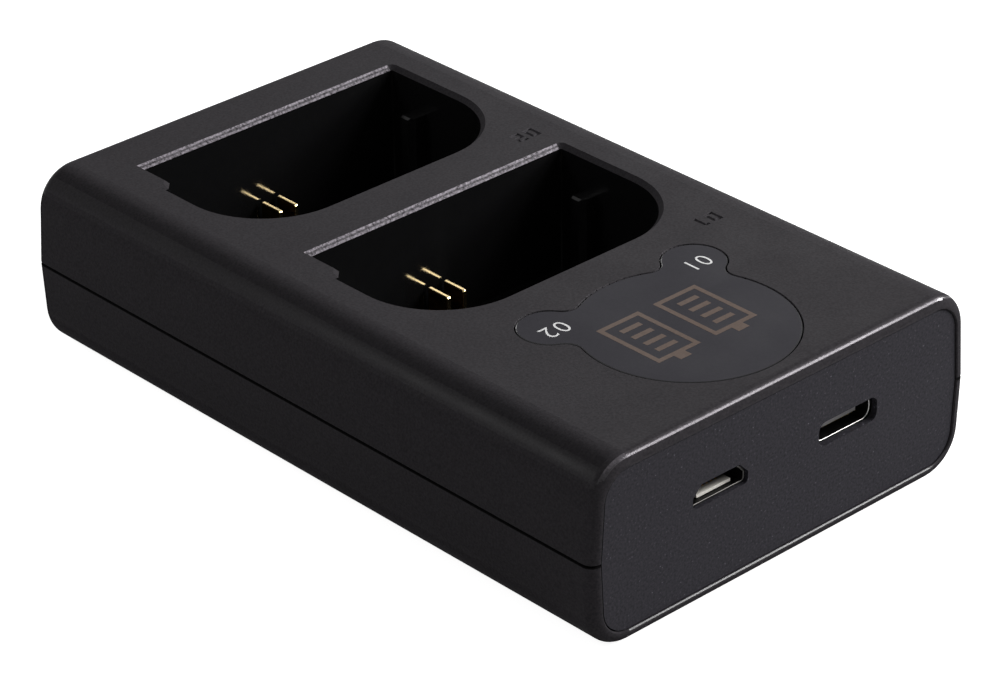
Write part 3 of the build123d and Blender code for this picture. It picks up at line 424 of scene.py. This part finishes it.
# Darker gold for the blades' sides and the micro-USB contacts: painted shade
contact_painted_shade = plated("contact_painted_shade", (0.3, 0.17, 0.055), 0.3)
inlet_steel = plated("inlet_steel", (0.5, 0.49, 0.48), 0.36)
# Darker steel for the micro-USB lips and near-black steel inside the inlet shells: painted shade
micro_lip_painted_shade = plated("micro_lip_painted_shade", (0.1, 0.097, 0.094), 0.4)
inlet_painted_shade = plated("inlet_painted_shade", (0.025, 0.0245, 0.024), 0.45)
screw_steel = plated("screw_steel", (0.2, 0.2, 0.21), 0.35)

finishes = {
    "usb_c_tongue": grey_insulator,
    "usb_c_contacts": contact_gold,
    "micro_usb_tongue": pale_insulator,
    "micro_usb_contacts": contact_painted_shade,
    "control_board": board_resist,
    "contact_board": board_resist,
    "link_header": black_insulator,
    "link_pins": contact_gold,
    "light_box": light_box_white,
    "indicator_leds": lamp_resin,
    "microcontroller": chip_resin,
    "charge_controllers": chip_resin,
    "charge_inductors": ferrite,
    "filter_capacitors": ceramic,
    "sense_resistors": chip_resin,
}
for node_name, finish in finishes.items():
    nodes[node_name].material_slots[0].material = finish


# Finishes of the two shells, face by face: matt walls with painted shade on the sides, glossier upper edges
# with painted highlights at the left corner and behind the wells, polished wells with painted shade, sunk
# numbers with painted light and a dark joint

def end_finish(spot, normal, outward):
    """The finish of a face of the rounded edges at the two ends."""
    on_left = spot.x < -SIDE_START
    in_glint_strip = spot.z > RIM_TOP and GLINT_OUTWARD_LEAST < outward < GLINT_OUTWARD_MOST
    if normal.z > LEVEL_SLOPE:
        return case_matt
    # At the left corner the glint strip gets a painted highlight
    if in_glint_strip and on_left and normal.z > FADE_SLOPE:
        return corner_painted_highlight if normal.z > GLINT_SLOPE else corner_fading_painted_highlight
    if in_glint_strip and normal.z > GLINT_SLOPE:
        return end_edge
    if spot.z < RIM_TOP and spot.x > RIM_LEFT and outward > RIM_OUTWARD and normal.z > RIM_SLOPE:
        return rim_edge
    if on_left and outward < GLINT_OUTWARD_LEAST and normal.z > SIDE_WALL_SLOPE:
        return side_round_painted_shade
    return case_flat


def well_finish(spot, normal):
    """The finish of a face in, between or beside the wells."""
    chamfered = MOUTH_SLOPE < normal.z < LEVEL_SLOPE
    # Below the mouths: the wells' polished faces with painted shade
    if spot.z < TOP - MOUTH_DEPTH:
        return well_gloss_and_painted_shade
    # The back chamfers of the mouths: painted highlight
    if chamfered and normal.y < MOUTH_BACK_SLOPE and abs(spot.x) < MOUTH_HALF_LENGTH:
        return mouth_painted_highlight
    # Sunk numbers: painted light
    if spot.z < TOP - SUNK_DROP and not UPRIGHT_SLOPE <= abs(normal.z) <= LEVEL_SLOPE:
        return sunk_number_painted_light
    return case_matt


# A side's finishes from underneath to the top, each below a slope; the walls and the rounds into the top
# carry painted shade
side_finishes = (
    (SIDE_UNDER_SLOPE, case_under),
    (SIDE_WALL_SLOPE, case_side),
    (SIDE_EASE_SLOPE, side_ease),
    (SIDE_ROUND_SLOPE, side_round_painted_shade),
    (SIDE_TURN_SLOPE, side_turn_painted_shade),
)


def shell_finish(node_name, spot, normal):
    """The finish of a face of a shell, from its middle in millimetres and its normal."""
    outward = normal.y if spot.y > 0.0 else -normal.y
    if abs(spot.z - SEAM_HEIGHT) < SEAM_REACH and abs(normal.z) > SEAM_SLOPE:
        return seam_dark
    if abs(spot.y) > END_ROUND_START and abs(normal.y) < END_FACE_SLOPE:
        return end_finish(spot, normal, outward)
    if node_name == "upper_shell" and abs(spot.x) < WELLS_HALF_WIDTH and abs(spot.y) < WELLS_REACH:
        return well_finish(spot, normal)
    if abs(spot.x) > SIDE_START:
        for slope, finish in side_finishes:
            if normal.z < slope:
                return finish
    return case_matt


shell_finishes = [
    case_matt, end_edge, mouth_painted_highlight, well_gloss_and_painted_shade, case_flat, rim_edge, side_round_painted_shade, case_side,
    sunk_number_painted_light, seam_dark, corner_painted_highlight, corner_fading_painted_highlight, case_under, side_turn_painted_shade, side_ease,
]
for node_name in ("upper_shell", "lower_shell"):
    shell = nodes[node_name]
    shell.material_slots[0].material = shell_finishes[0]
    for finish in shell_finishes[1:]:
        shell.data.materials.append(finish)
    for face in shell.data.polygons:
        finish = shell_finish(node_name, face.center / MM, face.normal)
        face.material_index = shell_finishes.index(finish)


# Pieces that stand for CAD nodes or add to them

def placed(name, mesh, material):
    """Links a mesh as a piece on the charger's one body."""
    piece = bpy.data.objects.new(name, mesh)
    bpy.context.scene.collection.objects.link(piece)
    mesh.materials.clear()
    mesh.materials.append(material)
    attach(piece, "root")
    return piece


def cleaned(node_name):
    """A copy of a node's mesh and a form of it without doubled points and edges inside flat faces."""
    mesh = nodes[node_name].data.copy()
    form = bmesh.new()
    form.from_mesh(mesh)
    bmesh.ops.remove_doubles(form, verts=form.verts, dist=WELD_DISTANCE * MM)
    bmesh.ops.dissolve_limit(form, angle_limit=radians(FLAT_ANGLE), verts=form.verts, edges=form.edges)
    return mesh, form


def stored(form, mesh):
    """Writes a form into a mesh and frees it."""
    form.to_mesh(mesh)
    form.free()


def broken_edges(piece, name, width_mm, segments, angle, material_index):
    """Bevels a piece's edges that turn by more than an angle in degrees."""
    bevel = piece.modifiers.new(name, "BEVEL")
    bevel.width = width_mm * MM
    bevel.segments = segments
    bevel.limit_method = "ANGLE"
    bevel.angle_limit = radians(angle)
    bevel.material = material_index


def ring(form, outline, z):
    """New points along a flat outline at a height, all in millimetres."""
    return [form.verts.new((x * MM, y * MM, z * MM)) for x, y in outline]


def bridge(form, low, high):
    """Faces between two rings with as many points."""
    count = len(low)
    for i in range(count):
        form.faces.new((low[i], low[(i + 1) % count], high[(i + 1) % count], high[i]))


def prism(outline, base, height):
    """Form of a flat outline, raised from base by height; all in millimetres."""
    form = bmesh.new()
    foot = ring(form, outline, base)
    top = ring(form, outline, base + height)
    form.faces.new(list(reversed(foot)))
    form.faces.new(top)
    bridge(form, foot, top)
    return form


def rectangle(x0, y0, x1, y1):
    """Corners of a rectangle."""
    return [(x0, y0), (x1, y0), (x1, y1), (x0, y1)]


def joined(forms, name):
    """One mesh out of several forms."""
    mesh = bpy.data.meshes.new(name)
    whole = bmesh.new()
    for form in forms:
        stored(form, mesh)
        whole.from_mesh(mesh)
    bmesh.ops.recalc_face_normals(whole, faces=whole.faces)
    stored(whole, mesh)
    return mesh


# Window pane with a broken edge, a hair below the top so that its printing stays in the case's height
pane_mesh, pane_form = cleaned("display_window")
for vert in pane_form.verts:
    if vert.co.z > (TOP - PANE_TOP_REACH) * MM:
        vert.co.z = PRINT_BASE * MM
stored(pane_form, pane_mesh)
pane = placed("window_pane", pane_mesh, window_satin)
pane_mesh.materials.append(window_edge)
broken_edges(pane, "broken_edge", PANE_BEVEL, segments=2, angle=60.0, material_index=1)
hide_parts("display_window")


# End panel with broken outer edges, the left one dark like the joint beside it

def is_outer(vert):
    """Whether a point of the panel lies outside the part that has the inlets' holes."""
    beside = abs(vert.co.x) > PANEL_HOLES_HALF_WIDTH * MM
    return beside or abs(vert.co.z - SEAM_HEIGHT * MM) > PANEL_HOLES_HALF_HEIGHT * MM


panel_mesh, panel_form = cleaned("end_panel")
front_edges = []
for edge in panel_form.edges:
    in_front = all(vert.co.y < (PANEL_FRONT + PANEL_FRONT_REACH) * MM for vert in edge.verts)
    if in_front and any(is_outer(vert) for vert in edge.verts):
        front_edges.append(edge)
bmesh.ops.bevel(
    panel_form, geom=front_edges, offset=PANEL_BEVEL * MM, segments=2, profile=0.5, affect="EDGES"
)
stored(panel_form, panel_mesh)
panel = placed("end_panel_edged", panel_mesh, panel_matt)
panel_mesh.materials.append(seam_dark)
for face in panel_mesh.polygons:
    in_dark = face.normal.x < PANEL_DARK_SLOPE and face.normal.y < PANEL_DARK_SLOPE
    face.material_index = 1 if in_dark else 0
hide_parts("end_panel")

# Contact blades with broken edges, a little thicker than in the CAD but clear of their slots
for node_name in ("near_left_blade", "near_right_blade", "far_left_blade", "far_right_blade"):
    blade_mesh, blade_form = cleaned(node_name)
    blade_low, blade_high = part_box(node_name)
    blade_middle = (blade_low.x + blade_high.x) / 2
    for vert in blade_form.verts:
        vert.co.x = blade_middle + (vert.co.x - blade_middle) * BLADE_SWELL
    stored(blade_form, blade_mesh)
    blade = placed(node_name + "_plated", blade_mesh, contact_gold)
    # The blades' sides take the darker gold: painted shade
    blade_mesh.materials.append(contact_painted_shade)
    for face in blade_mesh.polygons:
        face.material_index = 1 if abs(face.normal.x) > BLADE_SIDE_SLOPE else 0
    broken_edges(blade, "broken_edge", BLADE_BEVEL, segments=3, angle=30.0, material_index=0)
    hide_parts(node_name)

# Inlet shells with rolled lips, painted near black inside as painted shade; the micro-USB inlet's lips
# painted darker than the USB-C's, also painted shade
for node_name, lip_finish in (("usb_c_shell", inlet_steel), ("micro_usb_shell", micro_lip_painted_shade)):
    lip_mesh, lip_form = cleaned(node_name)
    stored(lip_form, lip_mesh)
    lipped = placed(node_name + "_lipped", lip_mesh, inlet_painted_shade)
    lip_mesh.materials.append(lip_finish)
    broken_edges(lipped, "rolled_lip", LIP_BEVEL, segments=3, angle=60.0, material_index=1)
    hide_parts(node_name)


# Level icons: a cell outline, its terminal and four bars, once for each well

def level_icon(left, right, bar_left, bar_right, nub_left, nub_right):
    """The prisms of one icon."""
    strokes = [
        (left, ICON_FRONT, left + ICON_LINE, ICON_BACK),
        (right - ICON_LINE, ICON_FRONT, right, ICON_BACK),
        (left + ICON_LINE, ICON_BACK - ICON_LINE, right - ICON_LINE, ICON_BACK),
        (left + ICON_LINE, ICON_FRONT, right - ICON_LINE, ICON_FRONT + ICON_LINE),
        (nub_left, ICON_FRONT - ICON_NUB, nub_right, ICON_FRONT),
    ]
    strokes += [(bar_left, y - BAR_HALF_HEIGHT, bar_right, y + BAR_HALF_HEIGHT) for y in ICON_BARS]
    return [prism(rectangle(*stroke), PRINT_BASE, PRINT_LIFT) for stroke in strokes]


right_icon = level_icon(left=0.55, right=6.9, bar_left=2.45, bar_right=5.3, nub_left=2.95, nub_right=4.6)
left_icon = level_icon(left=-7.95, right=-1.68, bar_left=-6.2, bar_right=-3.3, nub_left=-5.75, nub_right=-4.1)
placed("level_icons", joined(right_icon + left_icon, "level_icons"), icon_ink)


def numeral(name, text, x):
    """A flat number on the window that reads from the far end, its top towards the inlets."""
    letters = bpy.data.curves.new(name, "FONT")
    letters.body = text
    letters.align_x = "CENTER"
    letters.align_y = "CENTER"
    letters.size = NUMBER_HEIGHT / DIGIT_SHARE * MM
    letters.space_character = NUMBER_SPACING
    letters.offset = -NUMBER_THINNING * MM
    letters.extrude = PRINT_LIFT / 2 * MM
    letters.materials.append(white_ink)
    piece = bpy.data.objects.new(name, letters)
    bpy.context.scene.collection.objects.link(piece)
    middle = Vector((x, NUMBER_Y, PRINT_BASE + PRINT_LIFT / 2)) * MM
    piece.matrix_world = Matrix.Translation(middle) @ Matrix.Rotation(pi, 4, "Z")
    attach(piece, "root")


numeral("window_number_1", "01", NUMBER_1_X)
numeral("window_number_2", "02", NUMBER_2_X)


# Screws with a cross recess in the head

def circle(x, y, radius):
    """Points round a circle."""
    turns = [2 * pi * i / SCREW_SIDES for i in range(SCREW_SIDES)]
    return [(x + radius * cos(turn), y + radius * sin(turn)) for turn in turns]


def rim_edges(form, points):
    """The edges between neighbours round a ring of points, made where they are missing."""
    following = points[1:] + points[:1]
    return [form.edges.get(pair) or form.edges.new(pair) for pair in zip(points, following)]


def screw_form(x, y):
    """One screw, head down, at its place under the case."""
    form = bmesh.new()
    profile = [
        (SCREW_HEAD_RADIUS - SCREW_HEAD_ROUND, SCREW_HEAD_BASE),
        (SCREW_HEAD_RADIUS, SCREW_HEAD_BASE + SCREW_HEAD_ROUND),
        (SCREW_HEAD_RADIUS, SCREW_SEAT),
        (SCREW_SHANK_RADIUS, SCREW_SEAT),
        (SCREW_SHANK_RADIUS, SCREW_TIP - SCREW_POINT_LENGTH),
        (SCREW_POINT_RADIUS, SCREW_TIP),
    ]
    rings = [ring(form, circle(x, y, radius), z) for radius, z in profile]
    for low, high in zip(rings, rings[1:]):
        bridge(form, low, high)
    form.faces.new(rings[-1])
    # One arm of the cross, turned by quarters
    arm = [(CROSS_WIDE, CROSS_LONG), (CROSS_WIDE, CROSS_WIDE), (CROSS_LONG, CROSS_WIDE)]
    cross = []
    for quarter in range(4):
        cross += arm
        arm = [(b, -a) for a, b in arm]
    mouth = ring(form, [(x + a, y + b) for a, b in cross], SCREW_HEAD_BASE)
    tapered = [(x + CROSS_TAPER * a, y + CROSS_TAPER * b) for a, b in cross]
    floor = ring(form, tapered, SCREW_HEAD_BASE + CROSS_DEPTH)
    bmesh.ops.triangle_fill(form, edges=rim_edges(form, mouth) + rim_edges(form, rings[0]), use_beauty=True)
    bridge(form, mouth, floor)
    form.faces.new(floor)
    return form


screw_low, screw_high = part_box("case_screws")
head_inset = SCREW_HEAD_RADIUS * MM
screw_forms = []
for screw_x in (screw_low.x + head_inset, screw_high.x - head_inset):
    for screw_y in (screw_low.y + head_inset, screw_high.y - head_inset):
        screw_forms.append(screw_form(screw_x / MM, screw_y / MM))
screws = placed("cross_screws", joined(screw_forms, "cross_screws"), screw_steel)
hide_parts("case_screws")


# Stage: a white floor that keeps a soft shadow, a white surround, six soft lamps and the camera

def combined(tree, operation, first, second):
    """A Math node of two values, each a socket or a number."""
    node = tree.nodes.new("ShaderNodeMath")
    node.operation = operation
    for value, socket in zip((first, second), node.inputs):
        if isinstance(value, float):
            socket.default_value = value
        else:
            tree.links.new(value, socket)
    return node.outputs["Value"]


def seen_directly(tree, gloss):
    """1 for rays from the camera or through glass, gloss for rays off a glossy surface, and 0 for the
    light that falls on the charger."""
    path = tree.nodes.new("ShaderNodeLightPath")
    mirrored = combined(tree, "MULTIPLY", path.outputs["Is Glossy Ray"], gloss)
    either = combined(tree, "MAXIMUM", path.outputs["Is Camera Ray"], mirrored)
    return combined(tree, "MAXIMUM", either, path.outputs["Is Transmission Ray"])


floor_material = bpy.data.materials.new("studio_floor")
floor_material.use_nodes = True
floor_tree = floor_material.node_tree
floor_tree.nodes.clear()
floor_output = floor_tree.nodes.new("ShaderNodeOutputMaterial")
floor_sum = floor_tree.nodes.new("ShaderNodeAddShader")
floor_matt = floor_tree.nodes.new("ShaderNodeBsdfDiffuse")
floor_matt.inputs["Color"].default_value = (FLOOR_GREY, FLOOR_GREY, FLOOR_GREY, 1.0)
floor_white = floor_tree.nodes.new("ShaderNodeEmission")
floor_level = combined(floor_tree, "MULTIPLY", seen_directly(floor_tree, FLOOR_IN_GLOSS), FLOOR_WHITE)
floor_tree.links.new(floor_level, floor_white.inputs["Strength"])
floor_tree.links.new(floor_matt.outputs["BSDF"], floor_sum.inputs[0])
floor_tree.links.new(floor_white.outputs["Emission"], floor_sum.inputs[1])
floor_tree.links.new(floor_sum.outputs["Shader"], floor_output.inputs["Surface"])
floor_outline = rectangle(-FLOOR_HALF, -FLOOR_HALF, FLOOR_HALF, FLOOR_HALF)
floor_mesh = joined([prism(floor_outline, -FLOOR_THICKNESS, FLOOR_THICKNESS)], "studio_floor")
floor_mesh.materials.append(floor_material)
floor_object = bpy.data.objects.new("studio_floor", floor_mesh)
bpy.context.scene.collection.objects.link(floor_object)

world = bpy.data.worlds.new("studio")
bpy.context.scene.world = world
world.use_nodes = True
sky = world.node_tree
sky.nodes.clear()
sky_output = sky.nodes.new("ShaderNodeOutputWorld")
sky_light = sky.nodes.new("ShaderNodeBackground")
sky_level = sky.nodes.new("ShaderNodeMapRange")
sky_level.inputs["To Min"].default_value = SKY_LIGHT
sky_level.inputs["To Max"].default_value = SKY_WHITE
sky.links.new(seen_directly(sky, SKY_IN_GLOSS), sky_level.inputs["Value"])
sky.links.new(sky_level.outputs["Result"], sky_light.inputs["Strength"])
sky.links.new(sky_light.outputs["Background"], sky_output.inputs["Surface"])


def softbox(name, direction, distance, size, power):
    """A round area lamp that looks at the charger from a direction; metres and watts."""
    lamp = bpy.data.lights.new(name, "AREA")
    lamp.shape = "DISK"
    lamp.size = size
    lamp.energy = power
    holder = bpy.data.objects.new(name, lamp)
    bpy.context.scene.collection.objects.link(holder)
    away = Vector(direction).normalized()
    turned = away.to_track_quat("Z", "Y").to_matrix().to_4x4()
    holder.matrix_world = Matrix.Translation(away * distance) @ turned


softbox("key", (0.84, -0.38, 0.39), distance=0.45, size=0.14, power=1.6)
softbox("front", (0.621, -0.468, 0.628), distance=1.238, size=0.3, power=4.5)
softbox("contact", (0.58, -0.655, 0.487), distance=1.0, size=0.12, power=1.0)
softbox("rim", (-0.652, 0.447, 0.615), distance=0.257, size=0.057, power=0.06)
softbox("back", (0.67, 0.58, 0.455), distance=1.0, size=0.22, power=0.7)
softbox("edge", (0.36, 0.87, 0.33), distance=1.0, size=0.15, power=0.2)

camera_data = bpy.data.cameras.new("camera")
camera_data.sensor_width = CAMERA_SENSOR
camera_data.lens = CAMERA_LENS
camera_data.clip_start = CAMERA_NEAR
camera = bpy.data.objects.new("camera", camera_data)
bpy.context.scene.collection.objects.link(camera)
back = Vector(CAMERA_BACK).normalized()
up = back.cross(Vector(CAMERA_RIGHT).normalized()).normalized()
right = up.cross(back)
turn = Matrix((right, up, back)).transposed().to_4x4()
camera.matrix_world = Matrix.Translation(Vector(CAMERA_PLACE) * MM) @ turn
bpy.context.scene.camera = camera
bpy.context.scene.view_settings.view_transform = "Standard"
